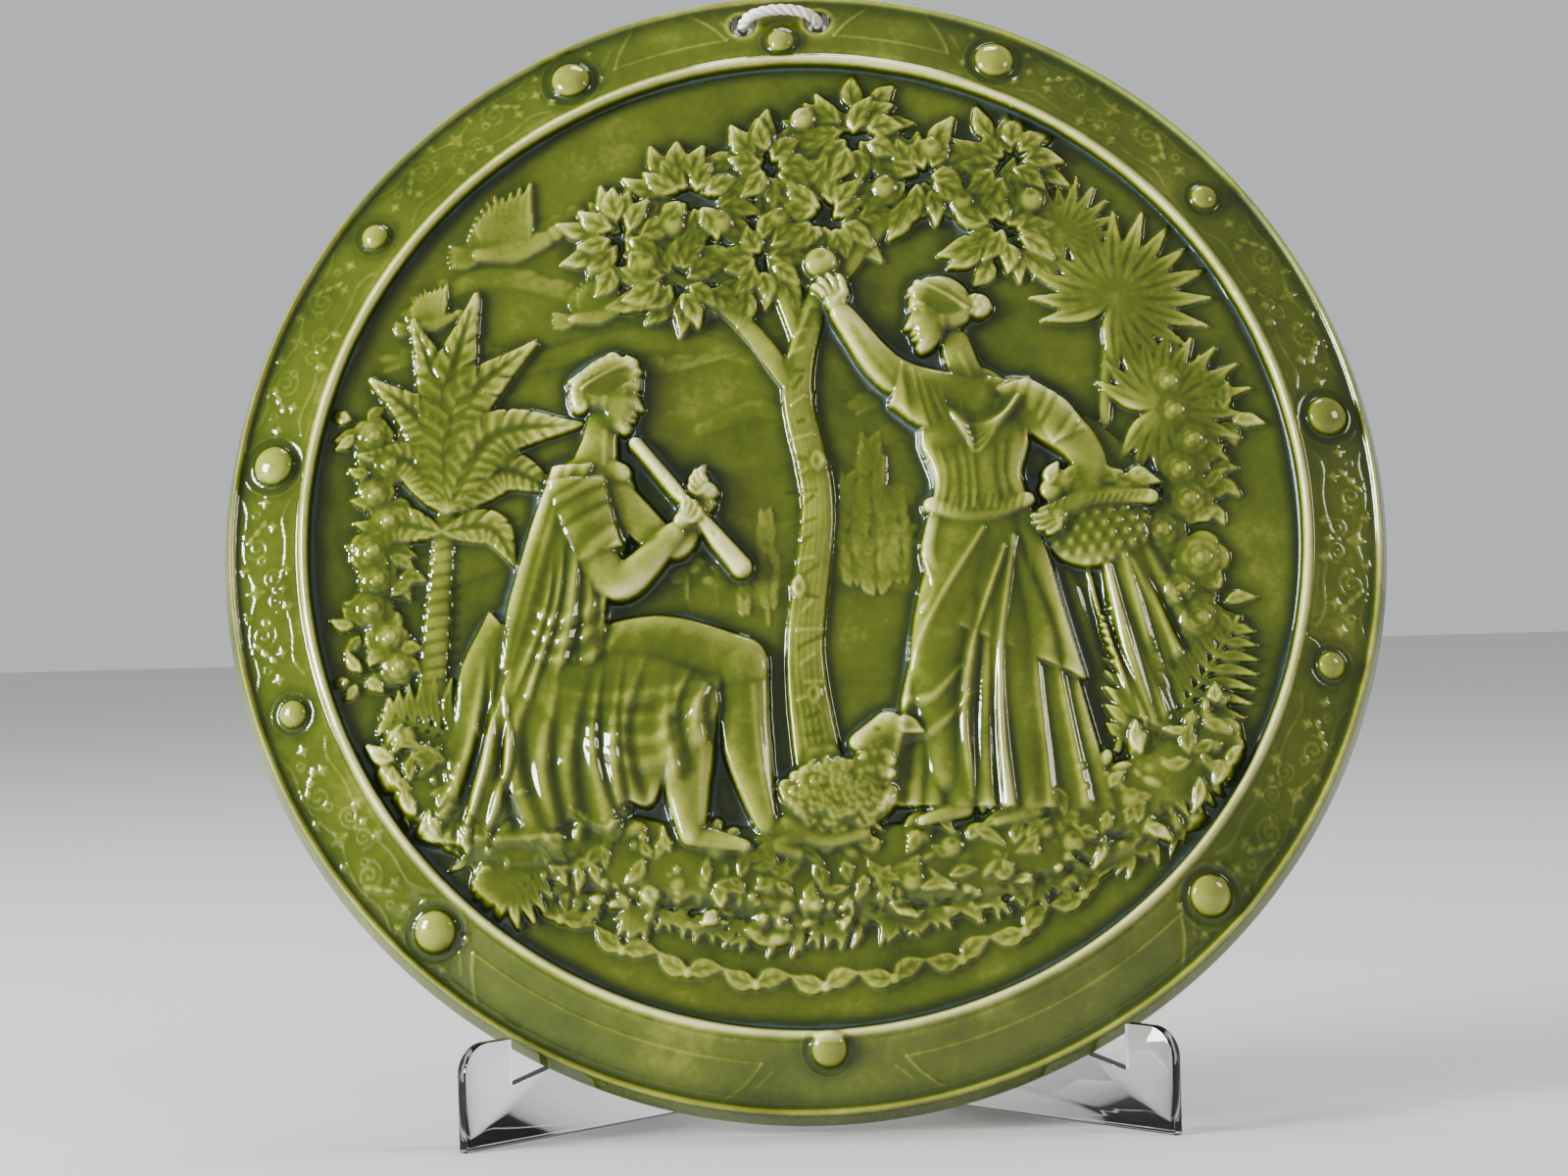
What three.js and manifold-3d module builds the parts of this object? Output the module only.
// A round glazed earthenware wall plaque, shown on a clear two-piece acrylic stand, with its hanging cord.
// Millimetres, +Z up. The plaque faces -Y and leans back; the stand's feet are on Z = 0.
import * as THREE from 'three';
import { mergeVertices } from 'three/addons/utils/BufferGeometryUtils.js';
import Module from 'manifold-3d';

const wasm = await Module();
wasm.setup();

// Plaque, measured in its own frame: r from its axis, z forward from the back of its edge.
const plaqueRadius = 250;
const edgeHeight = 12.9;
const edgeFlare = 4.6;
const edgeWidth = 3.2;
const rimWidth = 37;
const rimOuterHeight = 11;
const rimInnerHeight = 18.4;
const beadRadius = plaqueRadius - rimWidth;
const beadWidth = 4.4;
const beadHeight = 20.7;
const fieldHeight = 14;
const fieldDome = 2.5;
const wall = 8;
const footInset = 102;
const footRadius = plaqueRadius - footInset;
const footWidth = 6;
const footDepth = 3;
const backBand = 12;
const reliefDepth = 10;
const roundSteps = 72;

// Bosses on the rim: turn from the top in degrees, diameter, height, and the distance in from the edge.
const largeBoss = { diameter: 17.5, height: 6 };
const lowBoss = { diameter: 15, height: 5.2 };
const smallBoss = { diameter: 12, height: 4.5 };
const bossInset = 20.5;
const topBossInset = 27;
const bottomBossInset = 30.3;
const bosses = [
  { turn: 0, inset: topBossInset, ...smallBoss },
  { turn: 24, inset: bossInset, ...largeBoss },
  { turn: 52, inset: bossInset, ...smallBoss },
  { turn: 80, inset: bossInset, ...largeBoss },
  { turn: 107.5, inset: bossInset, ...smallBoss },
  { turn: 135.5, inset: bossInset, ...largeBoss },
  { turn: 180, inset: bottomBossInset, ...lowBoss },
  { turn: -135.5, inset: bossInset, ...largeBoss },
  { turn: -107.5, inset: bossInset, ...smallBoss },
  { turn: -80, inset: bossInset, ...largeBoss },
  { turn: -52, inset: bossInset, ...smallBoss },
  { turn: -24, inset: bossInset, ...largeBoss },
];

// Holes for the cord.
const holeSpan = 33;
const holeInset = 17;
const holeCircle = plaqueRadius - holeInset;
const holeDiameter = 10.5;

// The plaque stands on its edge turned a little anticlockwise, seen from the front.
const spin = THREE.MathUtils.degToRad(1.2);

// Stand: two equal sheets that cross behind the plaque. s runs along a sheet from its front end.
const lean = THREE.MathUtils.degToRad(14);
const sheet = 5;
const sheetLength = 245;
const sheetTurn = THREE.MathUtils.degToRad(45);
const frontHalfSpan = 145.3;
const frontY = -83;
const clearance = 0.3;
const lugWidth = 24.9;
const lugHeight = 43.6;
const lugCorner = 12.5;
const notchFront = 24.6;
const notchRise = 0.22;
const uprightHeight = 165;
const uprightWidth = 18;
const tailHeight = 30;
const tailCurve = { s: 150, z: 30 };
const slotHeight = 18;

// Cord and knot.
const cordDiameter = 5;
const knotDiameter = 15;
const knotHeight = 14;
const knotDrop = 52;

function toSolid(geometry, matrix = new THREE.Matrix4()) {
  const bare = geometry.clone().applyMatrix4(matrix);
  bare.deleteAttribute('normal');
  bare.deleteAttribute('uv');
  const merged = mergeVertices(bare, 1e-4);
  const triVerts = Uint32Array.from(merged.index.array);
  const vertProperties = merged.attributes.position.array;
  return new wasm.Manifold(new wasm.Mesh({ numProp: 3, vertProperties, triVerts }));
}

function toGeometry(solid) {
  const mesh = solid.getMesh();
  const geometry = new THREE.BufferGeometry();
  geometry.setAttribute('position', new THREE.BufferAttribute(mesh.vertProperties, 3));
  geometry.setIndex(new THREE.BufferAttribute(mesh.triVerts, 1));
  return geometry;
}

// A lathe turned so that its axis is Z: points are [r, z], from the back's middle round to the front's middle.
function turned(points, steps) {
  const profile = points.map(([r, z]) => new THREE.Vector2(r, z));
  return new THREE.LatheGeometry(profile, steps).rotateX(Math.PI / 2);
}

// The carved relief is a grid of heights above the field. Places are hundredths of its radius, from the
// centre, and heights are tenths of the relief's depth.
const fieldRadius = beadRadius - beadWidth / 2;
const share = fieldRadius / 100;
const tenth = reliefDepth / 10;
const cells = 256;
const gridHalf = fieldRadius + 3;
const pitch = (2 * gridHalf) / cells;
const grid = cells + 1;
const relief = new Float32Array(grid * grid);
const reliefTriangles = 5300;

let seed = 11;
function chance(low = 0, high = 1) {
  seed = (seed * 1664525 + 1013904223) % 4294967296;
  return low + ((high - low) * seed) / 4294967296;
}

function lift(x, y, height) {
  const column = Math.round((x * share + gridHalf) / pitch);
  const row = Math.round((y * share + gridHalf) / pitch);
  if (column < 0 || row < 0 || column > cells || row > cells) return;
  const at = row * grid + column;
  relief[at] = Math.max(relief[at], height);
}

function curveThrough(points, count) {
  const places = points.map(([x, y]) => new THREE.Vector3(x, y, 0));
  const curve = new THREE.CatmullRomCurve3(places, false, 'centripetal');
  return curve.getSpacedPoints(count);
}

function blend(values, v) {
  if (!Array.isArray(values)) return values;
  const at = v * (values.length - 1);
  const i = Math.min(Math.floor(at), values.length - 2);
  return values[i] + (values[i + 1] - values[i]) * (at - i);
}

// Two rows for each cell of the grid along a line.
function rowsFor(points) {
  const steps = points.slice(1).map(([x, y], i) => Math.hypot(x - points[i][0], y - points[i][1]));
  const reach = steps.reduce((sum, step) => sum + step, 0);
  return Math.ceil((2 * reach * share) / pitch) + 4;
}

// Cloth, a leaf or a lock between two edges: height(u, v) has u from -1 to 1 across and v from 0 to 1 along.
function drape(edgeA, edgeB, height) {
  const rows = rowsFor(edgeA);
  fill(curveThrough(edgeA, rows), curveThrough(edgeB, rows), height);
}

function fill(a, b, height) {
  const last = a.length - 1;
  for (let i = 0; i <= last; i++) {
    const columns = Math.ceil((2 * a[i].distanceTo(b[i]) * share) / pitch) + 2;
    for (let j = 0; j <= columns; j++) {
      const place = a[i].clone().lerp(b[i], j / columns);
      lift(place.x, place.y, height((2 * j) / columns - 1, i / last));
    }
  }
}

function ribbon(points, widths, height) {
  const rows = rowsFor(points);
  const centre = curveThrough(points, rows);
  const edges = [[], []];
  for (let i = 0; i <= rows; i++) {
    const across = centre[Math.min(i + 1, rows)].clone().sub(centre[Math.max(i - 1, 0)]);
    across.set(-across.y, across.x, 0).setLength(blend(widths, i / rows));
    edges[0].push(centre[i].clone().add(across));
    edges[1].push(centre[i].clone().sub(across));
  }
  fill(edges[0], edges[1], height);
}

const round = (u) => Math.sqrt(Math.max(0, 1 - u * u));

function limb(points, widths, base, rise) {
  ribbon(points, widths, (u, v) => blend(base, v) + blend(rise, v) * round(u));
  const ends = [[points[0], 0], [points[points.length - 1], 1]];
  for (const [[x, y], v] of ends) {
    mound(x, y, blend(widths, v), blend(widths, v), blend(base, v), blend(rise, v));
  }
}

function mound(x, y, halfWidth, halfHeight, base, rise, turn = 0) {
  const reach = Math.max(halfWidth, halfHeight);
  const step = pitch / share;
  const [c, s] = [Math.cos(turn), Math.sin(turn)];
  for (let dx = -reach; dx <= reach; dx += step) {
    for (let dy = -reach; dy <= reach; dy += step) {
      const q = ((dx * c + dy * s) / halfWidth) ** 2 + ((dy * c - dx * s) / halfHeight) ** 2;
      if (q < 1) lift(x + dx, y + dy, base + rise * Math.sqrt(1 - q));
    }
  }
}

const folds = (u, count) => Math.abs(Math.sin((Math.PI * count * (u + 1)) / 2)) ** 0.7;

function leaf(x, y, length, halfWidth, turn, base, rise) {
  const tip = [x + length * Math.cos(turn), y + length * Math.sin(turn)];
  const bow = [(x + tip[0]) / 2 - 0.08 * (tip[1] - y), (y + tip[1]) / 2 + 0.08 * (tip[0] - x)];
  const widths = [0.1, 0.75, 1, 0.95, 0.7, 0.1].map((w) => w * halfWidth);
  const level = (u, v) => base + rise * (0.35 + 0.65 * Math.min(1, 3 * Math.abs(u))) * (1 - 0.3 * v);
  ribbon([[x, y], bow, tip], widths, level);
}

function spray(x, y, count, reach, length, halfWidth, base, rise) {
  for (let i = 0; i < count; i++) {
    const turn = (2 * Math.PI * (i + chance(-0.3, 0.3))) / count;
    const out = reach * Math.sqrt(chance());
    const from = [x + out * Math.cos(turn), y + out * Math.sin(turn)];
    leaf(...from, length, halfWidth, turn, base + chance(0, 1.2), rise);
  }
}

function frond(points, length, base) {
  const pairs = 7;
  const centre = curveThrough(points, pairs + 1);
  limb(points, [0.8, 0.4], base, 1);
  for (let i = 1; i <= pairs; i++) {
    const along = Math.atan2(centre[i + 1].y - centre[i - 1].y, centre[i + 1].x - centre[i - 1].x);
    const size = length * Math.sin((Math.PI * (i + 1)) / (pairs + 2));
    for (const side of [-1, 1]) leaf(centre[i].x, centre[i].y, size, 2, along + side * 1.05, base, 1.6);
  }
}

function fanPalm(x, y, reach, facing, base) {
  const blades = 10;
  for (let i = 0; i < blades; i++) {
    const turn = facing + ((i / (blades - 1)) * 2 - 1) * 2.3;
    leaf(x, y, reach * (0.8 + 0.2 * Math.cos(turn - facing)), reach * 0.16, turn, base, 2.2);
  }
  mound(x, y, 2, 2, base + 1, 1.5);
}

function rose(x, y, size, base) {
  mound(x, y, size, size, base, 1.6);
  mound(x, y, 0.5 * size, 0.5 * size, base + 1, 1.8);
}

// A head in profile. Its own places are shares of its height, x towards the face.
function head(x, y, size, facing, nod, base) {
  const [c, s] = [Math.cos(nod), Math.sin(nod)];
  const place = ([a, b]) => [x + facing * size * (a * c - b * s), y + size * (a * s + b * c)];
  const face = [
    [0.05, 0.5], [0.3, 0.3], [0.34, 0.1], [0.44, -0.08], [0.37, -0.2], [0.36, -0.38], [0.22, -0.48],
  ];
  const nape = [
    [-0.05, 0.5], [-0.3, 0.4], [-0.4, 0.15], [-0.36, -0.02], [-0.25, -0.15], [-0.1, -0.28], [0.1, -0.44],
  ];
  drape(face.map(place), nape.map(place), (u) => base + 3.4 * round(u * 0.97));
  for (let i = 0; i < 6; i++) {
    const from = place([0.3 - 0.07 * i, 0.36 + 0.02 * i]);
    const over = place([-0.05 - 0.05 * i, 0.42 - 0.1 * i]);
    const to = place([-0.42, 0.18 - 0.06 * i]);
    limb([from, over, to], [0.045 * size, 0.07 * size, 0.05 * size], base + 2.4, 1.6);
  }
  mound(...place([-0.46, 0.08]), 0.2 * size, 0.17 * size, base + 1.2, 2.8);
}

function earth() {
  const shore = [[-78, -50], [-55, -60], [-28, -67], [2, -70], [34, -68], [60, -60], [80, -46]];
  limb(shore, [6, 9, 8, 10, 8, 9, 5], 1.5, 3.2);
  for (let i = 0; i < 18; i++) {
    const x = chance(-74, 74);
    const y = -70 + 0.0026 * x * x + chance(-9, 8);
    mound(x, y, chance(2.4, 4), chance(2, 3.2), 3.4, chance(1, 2));
  }
  for (let i = 0; i < 7; i++) leaf(-6 + 3 * i, -86, 7, 1.8, 0.25 + 0.45 * i, 0.6, 1.6);
}

function tree() {
  limb([[1, -52], [-1, -25], [3, 5], [0, 30], [6, 52]], [5, 3.6, 3.2, 3, 2.2], 1.6, 2.6);
  limb([[1, 28], [-14, 48], [-34, 60]], [2.4, 1.8, 1], 1.4, 1.8);
  limb([[4, 46], [22, 66], [46, 72]], [2.2, 1.7, 1], 1.4, 1.8);
  const crowns = [
    [-34, 64], [-20, 72], [-24, 54], [-4, 78], [8, 66], [14, 84], [28, 74], [46, 76], [44, 62], [-6, 58],
  ];
  for (const [x, y] of crowns) spray(x, y, 7, 3, 9.5, 3.2, 1.8, 2);
  const fruit = [[-30, 58], [-14, 66], [-2, 66], [7, 53], [20, 72], [36, 68], [50, 68], [4, 88]];
  for (const [x, y] of fruit) mound(x, y, 2.8, 2.8, 2.6, 2.6);
}

function plants() {
  for (const [turn, length] of [[2.5, 34], [2.05, 42], [1.6, 46], [1.2, 38], [0.75, 27]]) {
    leaf(-72, 8, length, 7, turn - 0.15, 1.2, 2.6);
  }
  limb([[-76, -30], [-74, -10], [-72, 10]], [3, 2.4, 2], 1, 2);
  fanPalm(66, 46, 19, 0.9, 1.4);
  fanPalm(74, 22, 17, 0.3, 1.2);
  limb([[62, 20], [64, 36], [66, 46]], [1.2, 1.2, 1], 1.2, 1.2);
  frond([[-56, -54], [-70, -40], [-86, -34]], 11, 1.6);
  frond([[-50, -58], [-60, -70], [-66, -62]], 8, 2);
  frond([[62, -52], [74, -40], [86, -22]], 11, 1.6);
  frond([[58, -56], [72, -54], [82, -46]], 8, 2);
  for (let i = 0; i < 9; i++) rose(chance(70, 86), -22 + 6.2 * i, chance(4, 5.4), 1.4);
  for (let i = 0; i < 9; i++) rose(chance(-90, -82), -24 + 6 * i, chance(3.6, 4.6), 1);
}

// The standing figure, who reaches for fruit and carries a basket.
function gatherer() {
  limb([[36, 6], [38, -18], [41, -40], [42, -58]], [9, 8, 5, 3.4], 3, 4);
  drape(
    [[24, 17], [29, 3], [25, -14], [19, -34], [14, -58]],
    [[45, 20], [44, 4], [50, -14], [53, -36], [58, -61]],
    (u, v) => 2.6 + 2.6 * round(u * 0.95) + (0.5 + 1.5 * v) * folds(u + 0.1 * Math.sin(4 * v), 7),
  );
  limb([[34, -6], [25, -30], [27, -56]], [7.5, 5.4, 3.6], 3.4, 4);
  limb([[27, 4], [36, 1], [45, 4]], [1.6, 1.8, 1.6], 6, 1.4);
  drape(
    [[26, 2], [23, -10], [28, -17], [33, -12]],
    [[45, 4], [48, -6], [50, -20], [54, -32]],
    (u, v) => 5 + 1.4 * v + 1.3 * folds(u, 5),
  );
  limb([[35, 22], [34, 12]], [9.5, 8], 3.4, 3.4);
  limb([[44, 24], [56, 16], [58, 5], [50, 0]], [5, 4, 3.2, 2.4], 4, 3);
  drape(
    [[40, 27], [54, 12], [60, -14], [62, -40]],
    [[48, 28], [64, 10], [70, -16], [72, -46]],
    (u, v) => 2.4 + 1.6 * round(u) + 1.5 * folds(u + 0.12 * Math.sin(5 * v), 4),
  );
  mound(59, -3, 11, 7, 3.4, 3.4, 0.15);
  limb([[48, 0], [59, 3.4], [70, 3]], [1.6, 1.8, 1.6], 5.4, 1.4);
  for (let i = 0; i < 6; i++) mound(51 + 3.2 * i, 6 + 1.6 * Math.sin(i), 2.8, 2.8, 4.2, 2.6);
  limb([[33, 30], [32, 36]], [4, 3.6], 3.6, 2.8);
  limb([[35, 25], [20, 31], [9, 46]], [4.8, 3.6, 2.3], 4.6, 3.2);
  limb([[9, 46], [6, 51], [7, 55]], [2.3, 2.4, 1.2], 5, 1.6);
  head(29.5, 43, 16, -1, -0.1, 3);
  limb([[16, -60], [24, -58], [30, -57]], [1.6, 2.6, 2.4], 4, 2.4);
  limb([[34, -61], [42, -59], [47, -58]], [1.6, 2.6, 2.4], 4, 2.2);
}

// The seated figure, who plays a pipe.
function piper() {
  mound(-55, -46, 17, 18, 2.2, 3.4);
  limb([[-43, 8], [-48, -10], [-52, -26]], [9.5, 8, 9.5], 3.2, 3.8);
  drape(
    [[-36, 12], [-37, -4], [-42, -20], [-38, -32]],
    [[-52, 10], [-57, -8], [-62, -26], [-66, -44]],
    (u, v) => 4 + 2.6 * round(u * 0.95) + 1.3 * folds(u + 0.25 * v, 5),
  );
  limb([[-48, -28], [-30, -24], [-14, -27]], [8.5, 7.4, 5.4], 3.4, 4);
  limb([[-14, -27], [-14, -44], [-10, -60]], [5.4, 4.6, 2.6], 3.6, 3.4);
  limb([[-48, -32], [-34, -31], [-24, -34]], [9, 7.6, 5.8], 4.6, 4);
  limb([[-24, -34], [-26, -48], [-25, -62]], [5.8, 4.6, 2.8], 4.6, 3.6);
  drape(
    [[-58, -24], [-44, -22], [-30, -26], [-17, -30]],
    [[-66, -56], [-52, -60], [-36, -57], [-24, -46]],
    (u, v) => 5 + 2.2 * (1 - 0.3 * (u + 1)) + 1.7 * folds(v * 2 - 1 + 0.16 * u, 9),
  );
  limb([[-10, -60], [-3, -63]], [2.6, 1.8], 3.8, 2.2);
  limb([[-25, -62], [-17, -66]], [2.8, 1.9], 5, 2.2);
  limb([[-41, 16], [-40, 22]], [4.4, 4], 3.6, 2.8);
  limb([[-46, 8], [-38, -9], [-24, 2]], [4.8, 3.8, 2.4], 5.6, 3);
  limb([[-38, 8], [-27, -2], [-19, 8]], [4, 3.2, 2.2], 4, 2.6);
  limb([[-33, 19], [-24, 7], [-12, -8]], [0.9, 1.1, 1.6], 7.4, 1.2);
  mound(-23, 4, 3, 2.6, 6.6, 2);
  mound(-18, 9, 2.8, 2.4, 6, 1.8);
  head(-38.5, 28, 16, 1, -0.25, 3.2);
}

function lamb() {
  mound(4, -55, 12, 8, 3, 4.4, 0.1);
  limb([[11, -50], [14, -44]], [4.4, 3.6], 4.4, 3);
  limb([[14, -42], [8, -44]], [3.6, 2.2], 5.6, 2.4);
  leaf(15, -41, 6, 1.8, -0.2, 6, 1.6);
  limb([[-6, -60], [0, -64], [8, -63]], [2, 1.8, 1.6], 5, 1.8);
}

function soften(passes) {
  for (let pass = 0; pass < passes; pass++) {
    const before = relief.slice();
    for (let row = 1; row < cells; row++) {
      for (let column = 1; column < cells; column++) {
        const at = row * grid + column;
        const sides = before[at - 1] + before[at + 1] + before[at - grid] + before[at + grid];
        relief[at] = 0.5 * before[at] + 0.125 * sides;
      }
    }
  }
}

// Heights of the field's surface above the back of the plaque's edge.
function fieldSurface() {
  return relief.map((height, at) => {
    const x = (at % grid) * pitch - gridHalf;
    const y = Math.floor(at / grid) * pitch - gridHalf;
    const r = Math.min(Math.hypot(x, y) / fieldRadius, 1);
    const edge = Math.min(1, Math.max(0, (1 - r) * 25));
    return fieldHeight + fieldDome * (1 - r * r) + height * tenth * edge;
  });
}

// How much a fault in the surface counts at a grid point: most on what stands highest, so the figures are finer
// than the leaves behind them, and nothing outside the field.
function importance(at) {
  const x = (at % grid) * pitch - gridHalf;
  const y = Math.floor(at / grid) * pitch - gridHalf;
  return Math.hypot(x, y) > fieldRadius ? 0 : 0.6 + relief[at] / 9;
}

// Triangles over the grid, begun with two and refined at the point where the surface is furthest off, until
// they are as many as asked. Each new point replaces the triangles whose circles hold it. A triangle is
// [a, b, c], grid points.
function fittedTriangles(heights, most) {
  const column = (at) => at % grid;
  const row = (at) => Math.floor(at / grid);
  const key = (a, b) => a * grid * grid + b;
  const area = (a, b, c) =>
    (column(b) - column(a)) * (row(c) - row(a)) - (row(b) - row(a)) * (column(c) - column(a));
  const sides = ([a, b, c]) => [[a, b], [b, c], [c, a]];
  const owners = new Map();
  const live = new Map();

  function holds(triangle, p) {
    const [a, b, c] = triangle.map((at) => {
      const [x, y] = [column(at) - column(p), row(at) - row(p)];
      return [x, y, x * x + y * y];
    });
    const minor = (m, n) => m[0] * n[1] - m[1] * n[0];
    return a[2] * minor(b, c) + b[2] * minor(c, a) + c[2] * minor(a, b) > 0;
  }

  function add(triangle) {
    for (const [a, b] of sides(triangle)) owners.set(key(a, b), triangle);
    const whole = area(...triangle);
    const [columns, rows] = [triangle.map(column), triangle.map(row)];
    const worst = { at: -1, error: 0 };
    for (let y = Math.min(...rows); y <= Math.max(...rows); y++) {
      for (let x = Math.min(...columns); x <= Math.max(...columns); x++) {
        const at = y * grid + x;
        const parts = [[triangle[1], triangle[2]], [triangle[2], triangle[0]], [triangle[0], triangle[1]]];
        const shares = parts.map(([b, c]) => area(at, b, c) / whole);
        if (Math.min(...shares) < 0 || triangle.includes(at)) continue;
        const flat = shares.reduce((sum, part, i) => sum + part * heights[triangle[i]], 0);
        const error = importance(at) * Math.abs(heights[at] - flat);
        if (error > worst.error) Object.assign(worst, { at, error });
      }
    }
    live.set(triangle, worst);
  }

  const corners = [0, cells, grid * grid - 1, grid * cells];
  add([corners[0], corners[1], corners[2]]);
  add([corners[0], corners[2], corners[3]]);
  while (live.size < most) {
    const [first, { at }] = [...live].reduce((best, entry) => (entry[1].error > best[1].error ? entry : best));
    const cavity = new Set([first]);
    for (const triangle of cavity) {
      for (const [a, b] of sides(triangle)) {
        const other = owners.get(key(b, a));
        if (other && !cavity.has(other) && holds(other, at)) cavity.add(other);
      }
    }
    const outline = [...cavity].flatMap(sides).filter(([a, b]) => !cavity.has(owners.get(key(b, a))));
    for (const triangle of cavity) {
      live.delete(triangle);
      for (const [a, b] of sides(triangle)) owners.delete(key(a, b));
    }
    for (const [a, b] of outline) if (area(a, b, at) > 0) add([a, b, at]);
  }
  return [...live.keys()];
}

function reliefSolid() {
  earth();
  tree();
  plants();
  piper();
  gatherer();
  lamb();
  soften(3);
  const heights = fieldSurface();
  const top = fittedTriangles(heights, reliefTriangles);
  const numbers = new Map();
  for (const at of top.flat()) if (!numbers.has(at)) numbers.set(at, numbers.size);
  const count = numbers.size;
  const positions = new Float32Array(count * 6);
  for (const [at, number] of numbers) {
    const x = (at % grid) * pitch - gridHalf;
    const y = Math.floor(at / grid) * pitch - gridHalf;
    positions.set([x, y, heights[at]], number * 3);
    positions.set([x, y, fieldHeight - wall / 2], (number + count) * 3);
  }
  const index = [];
  const edges = new Map();
  for (const [a, b, c] of top.map((triangle) => triangle.map((at) => numbers.get(at)))) {
    index.push(a, b, c, a + count, c + count, b + count);
    for (const [from, to] of [[a, b], [b, c], [c, a]]) {
      if (!edges.delete(`${to} ${from}`)) edges.set(`${from} ${to}`, [from, to]);
    }
  }
  for (const [from, to] of edges.values()) index.push(from, from + count, to, to, from + count, to + count);
  const geometry = new THREE.BufferGeometry();
  geometry.setAttribute('position', new THREE.BufferAttribute(positions, 3));
  geometry.setIndex(index);
  const disc = turned([[0, 0], [beadRadius, 0], [beadRadius, 60], [0, 60]], roundSteps);
  return toSolid(geometry).intersect(toSolid(disc));
}
const rimSlope = (r) => {
  const outer = plaqueRadius - edgeFlare - edgeWidth;
  const inner = beadRadius + beadWidth;
  return rimOuterHeight + ((rimInnerHeight - rimOuterHeight) * (outer - r)) / (outer - inner);
};

function plaque() {
  const back = fieldHeight - wall;
  const crest = plaqueRadius - edgeFlare;
  const outer = crest - edgeWidth;
  const inner = beadRadius + beadWidth;
  const floor = fieldHeight - wall / 4;
  const body = toSolid(turned([
    [0, back],
    [footRadius - footWidth / 2 - footDepth, back],
    [footRadius - footWidth / 2, -footDepth],
    [footRadius + footWidth / 2, -footDepth],
    [footRadius + footWidth / 2 + footDepth, back],
    [beadRadius, back + 2],
    [plaqueRadius - backBand, 0],
    [plaqueRadius, 0],
    [crest + 0.8, edgeHeight - 1],
    [crest - 0.8, edgeHeight],
    [outer, rimOuterHeight],
    [inner, rimInnerHeight],
    [beadRadius + beadWidth / 4, beadHeight],
    [beadRadius - beadWidth / 4, beadHeight],
    [fieldRadius, floor],
    [0, floor],
  ], roundSteps));
  const slope = Math.atan2(rimInnerHeight - rimOuterHeight, outer - inner);
  let solid = body.add(reliefSolid());
  for (const boss of bosses) {
    const r = boss.diameter / 2;
    const dome = [[0, -wall / 4], [r, -wall / 4]];
    for (const angle of [30, 62]) {
      const turn = THREE.MathUtils.degToRad(angle);
      dome.push([r * Math.cos(turn), boss.height * Math.sin(turn)]);
    }
    dome.push([0, boss.height]);
    const circle = plaqueRadius - boss.inset;
    const place = new THREE.Matrix4()
      .makeRotationZ(THREE.MathUtils.degToRad(-boss.turn))
      .multiply(new THREE.Matrix4().makeTranslation(0, circle, rimSlope(circle)))
      .multiply(new THREE.Matrix4().makeRotationX(-slope));
    solid = solid.add(toSolid(turned(dome, 10), place));
  }
  for (const side of [-1, 1]) {
    const x = (side * holeSpan) / 2;
    const bore = new THREE.CylinderGeometry(holeDiameter / 2, holeDiameter / 2, 4 * beadHeight, 16)
      .rotateX(Math.PI / 2);
    const place = new THREE.Matrix4().makeTranslation(x, Math.sqrt(holeCircle ** 2 - x ** 2), 0);
    solid = solid.subtract(toSolid(bore, place));
  }
  return toGeometry(solid);
}

// The notch floor rises towards the back, and the plaque's back edge rests on it. The edge crosses a sheet's
// two faces, at half its thickness to each side, at different runs; the higher sets the plaque's height.
const notchFloor = (s) => notchFront + notchRise * (s - lugWidth);

function seatHeight(offset) {
  let reach = plaqueRadius;
  let run = 0;
  for (let pass = 0; pass < 12; pass++) {
    run = (-reach * Math.sin(lean) - frontY - offset * Math.cos(sheetTurn)) / Math.sin(sheetTurn);
    const x = frontHalfSpan - run * Math.cos(sheetTurn) + offset * Math.sin(sheetTurn);
    reach = Math.sqrt(plaqueRadius ** 2 - x ** 2);
  }
  return notchFloor(run) + clearance + reach * Math.cos(lean);
}
const centreHeight = Math.max(seatHeight(-sheet / 2), seatHeight(sheet / 2));

// The run along a sheet at which both its faces are behind the plaque's foot ring, at a height.
function uprightFront(z) {
  const y = ((z - centreHeight) * Math.sin(lean) + footDepth + clearance) / Math.cos(lean);
  return (y - frontY + (sheet / 2) * Math.cos(sheetTurn)) / Math.sin(sheetTurn);
}

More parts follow.
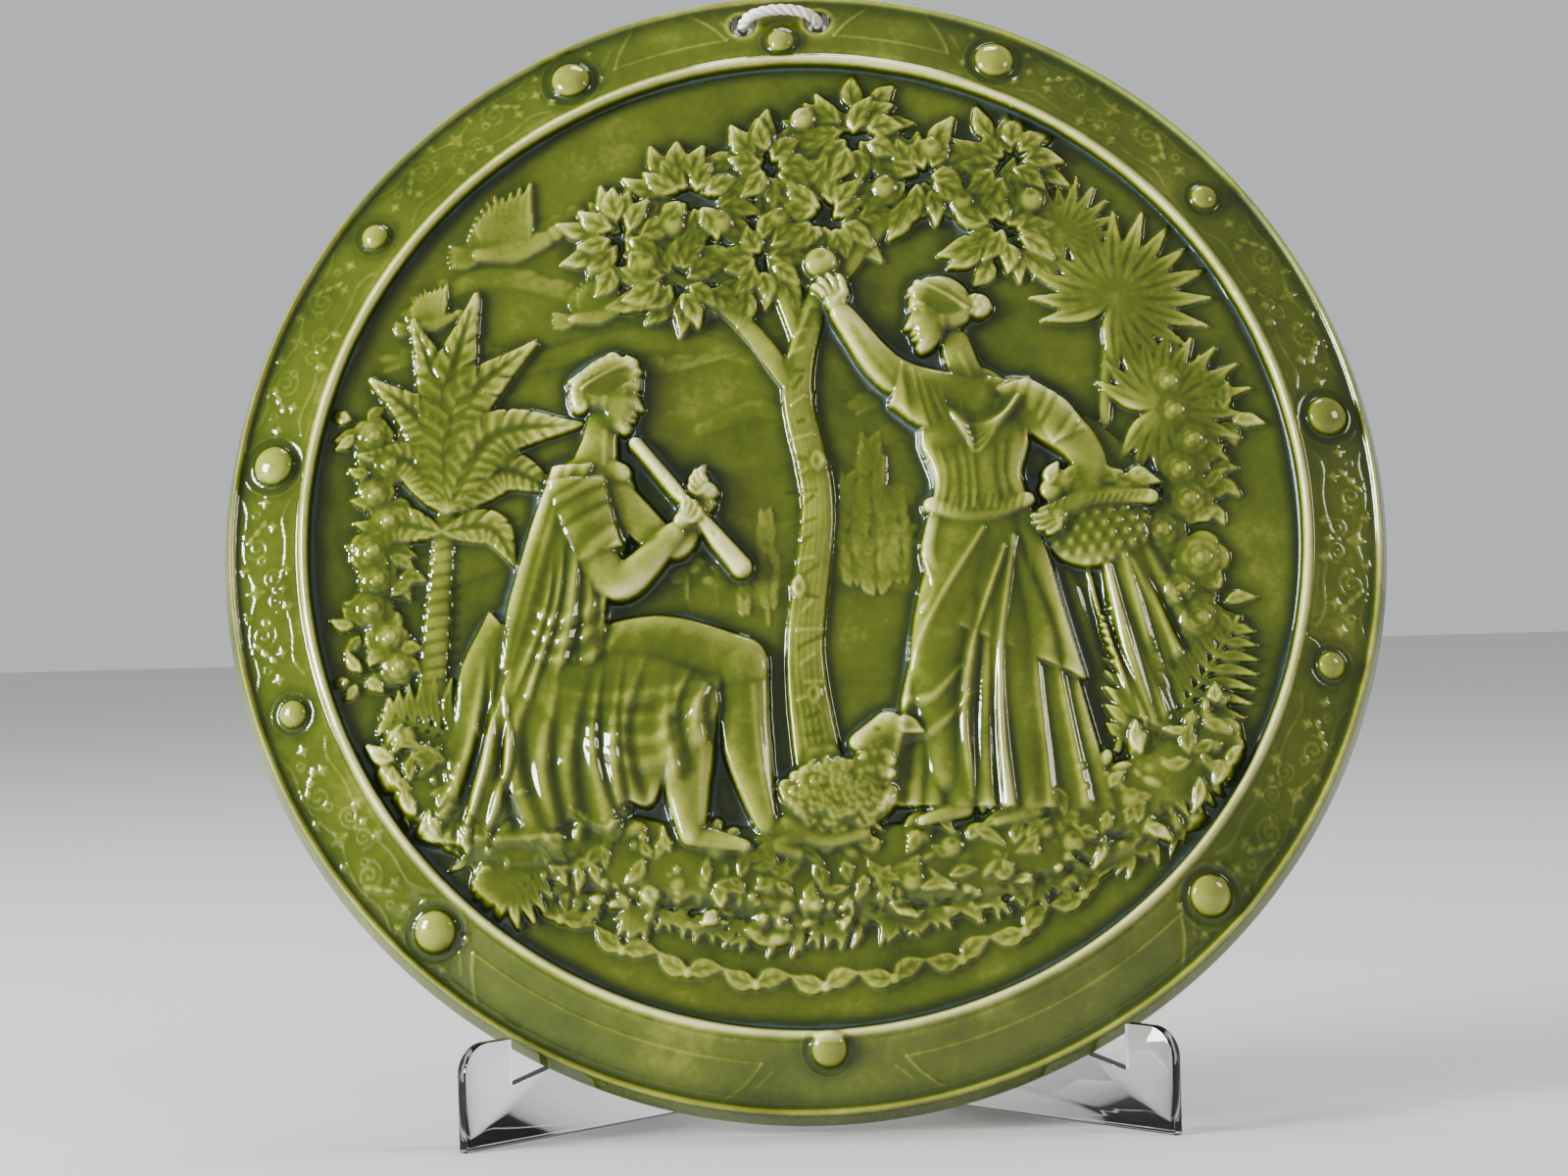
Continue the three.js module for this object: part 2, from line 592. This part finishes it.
function standHalf(slotFromTop) {
  let cornerS = 2 * lugWidth;
  for (let pass = 0; pass < 8; pass++) cornerS = uprightFront(notchFloor(cornerS));
  const radius = uprightWidth / 2;
  const tilt = Math.atan2(uprightFront(uprightHeight) - uprightFront(0), uprightHeight);
  const topCentre = new THREE.Vector2();
  topCentre.y = uprightHeight - radius;
  topCentre.x = uprightFront(topCentre.y + radius * Math.sin(tilt)) + radius * Math.cos(tilt);
  const outline = new THREE.Shape();
  outline.moveTo(0, 0);
  outline.lineTo(sheetLength, 0);
  outline.lineTo(sheetLength, tailHeight);
  outline.quadraticCurveTo(tailCurve.s, tailCurve.z, topCentre.x + radius, topCentre.y);
  outline.absarc(topCentre.x, topCentre.y, radius, 0, Math.PI - tilt, false);
  outline.lineTo(cornerS, notchFloor(cornerS));
  outline.lineTo(lugWidth, notchFront);
  outline.lineTo(lugWidth, lugHeight);
  outline.lineTo(lugCorner, lugHeight);
  outline.absarc(lugCorner, lugHeight - lugCorner, lugCorner, Math.PI / 2, Math.PI, false);
  outline.closePath();
  const plate = new THREE.ExtrudeGeometry(outline, { depth: sheet, bevelEnabled: false, curveSegments: 10 });
  plate.translate(0, 0, -sheet / 2);
  const crossing = 2 * sheetTurn;
  const slotHalf = (sheet / 2 + clearance) / Math.sin(crossing) + sheet / 2 / Math.tan(crossing);
  const crossS = frontHalfSpan / Math.cos(sheetTurn);
  const slot = new THREE.BoxGeometry(2 * slotHalf, uprightHeight, 3 * sheet);
  slot.translate(crossS, slotHeight + (slotFromTop ? uprightHeight / 2 : clearance - uprightHeight / 2), 0);
  return toGeometry(toSolid(plate).subtract(toSolid(slot)));
}

// The cord's route, from a point between the two holes on the plaque's back: out by the left hole, over the
// front, in through the right hole, down behind in a loop and back to the left hole.
const cordRoute = [
  [-16.5, -6.3, 1.6], [-16.5, -10.1, 2.5], [-16.1, -14.2, 4.2], [-13.4, -17, 6.3], [-7.6, -17.7, 8.2],
  [0, -17.9, 8.9], [7.6, -17.7, 8.2], [13.4, -17, 6.3], [16.1, -14.2, 4.2], [16.5, -10.1, 2.5],
  [16.5, -5.8, 1.5], [16.5, -1.5, 0.4], [16.5, 2.9, -0.7], [16.5, 7.2, -2.9], [16.5, 10.2, -6.7],
  [16.5, 11.2, -11.4], [16.5, 11.2, -39.1], [16.5, 11.2, -66.8], [16.5, 11.2, -95.4], [14.3, 11.2, -103.6],
  [8.3, 11.2, -109.7], [0, 11.2, -111.9], [-8.2, 11.2, -109.7], [-14.3, 11.2, -103.6], [-16.5, 11.2, -95.4],
  [-16.5, 11.2, -66.8], [-16.5, 11.2, -39.1], [-16.5, 11.2, -11.4], [-16.5, 10.2, -6.7], [-16.5, 7.2, -2.9],
  [-16.5, 2.9, -0.7], [-16.5, -1.5, 0.4], [-16.5, -5.4, 1.4],
];
const legX = 16.5;
const legY = 11.2;

function cord() {
  const path = new THREE.CatmullRomCurve3(cordRoute.map((p) => new THREE.Vector3(...p)), false, 'centripetal');
  const section = new THREE.Shape();
  section.absarc(0, 0, cordDiameter / 2, 0, 2 * Math.PI, false);
  return new THREE.ExtrudeGeometry(section, { steps: 30, extrudePath: path, curveSegments: 4 });
}

function knot() {
  const inner = cordDiameter / 2 + 2 * clearance;
  const outer = knotDiameter / 2;
  const half = knotHeight / 2;
  return turned([
    [inner, -half], [outer - 2.5, -half], [outer, -half / 2],
    [outer, half / 2], [outer - 2.5, half], [inner, half],
    [inner, -half],
  ], 14);
}

const glaze = new THREE.MeshStandardMaterial({ color: 0x6b7a2e, roughness: 0.12, metalness: 0 });
const acrylic = new THREE.MeshStandardMaterial({
  color: 0xe8eef0, roughness: 0.05, transparent: true, opacity: 0.35,
});
const cotton = new THREE.MeshStandardMaterial({ color: 0xe9e6de, roughness: 0.9, metalness: 0 });

const model = new THREE.Group();

const plaqueMesh = new THREE.Mesh(plaque(), glaze);
plaqueMesh.name = 'plaque';
plaqueMesh.rotation.set(Math.PI / 2 - lean, 0, spin);
plaqueMesh.position.z = centreHeight;
model.add(plaqueMesh);

for (const [name, side] of [['stand_half_left', -1], ['stand_half_right', 1]]) {
  const mesh = new THREE.Mesh(standHalf(side < 0), acrylic.clone());
  mesh.name = name;
  mesh.rotation.x = Math.PI / 2;
  const turn = new THREE.Group();
  turn.position.set(side * frontHalfSpan, frontY, 0);
  turn.rotation.z = side < 0 ? sheetTurn : Math.PI - sheetTurn;
  turn.add(mesh);
  model.add(turn);
}

const holeRise = Math.sqrt(holeCircle ** 2 - (holeSpan / 2) ** 2);
const cordGroup = new THREE.Group();
cordGroup.position.set(
  -holeRise * Math.sin(spin), holeRise * Math.sin(lean), centreHeight + holeRise * Math.cos(lean),
);
model.add(cordGroup);

const cordMesh = new THREE.Mesh(cord(), cotton);
cordMesh.name = 'hanging_cord';
cordGroup.add(cordMesh);

const knotMesh = new THREE.Mesh(knot(), cotton.clone());
knotMesh.name = 'cord_knot';
knotMesh.position.set(legX, legY, -knotDrop);
cordGroup.add(knotMesh);

// The origin is on the ground below the middle of the plaque and its stand.
const rearY = frontY + sheetLength * Math.sin(sheetTurn);
model.position.y = -(frontY + rearY) / 2;

export default model;
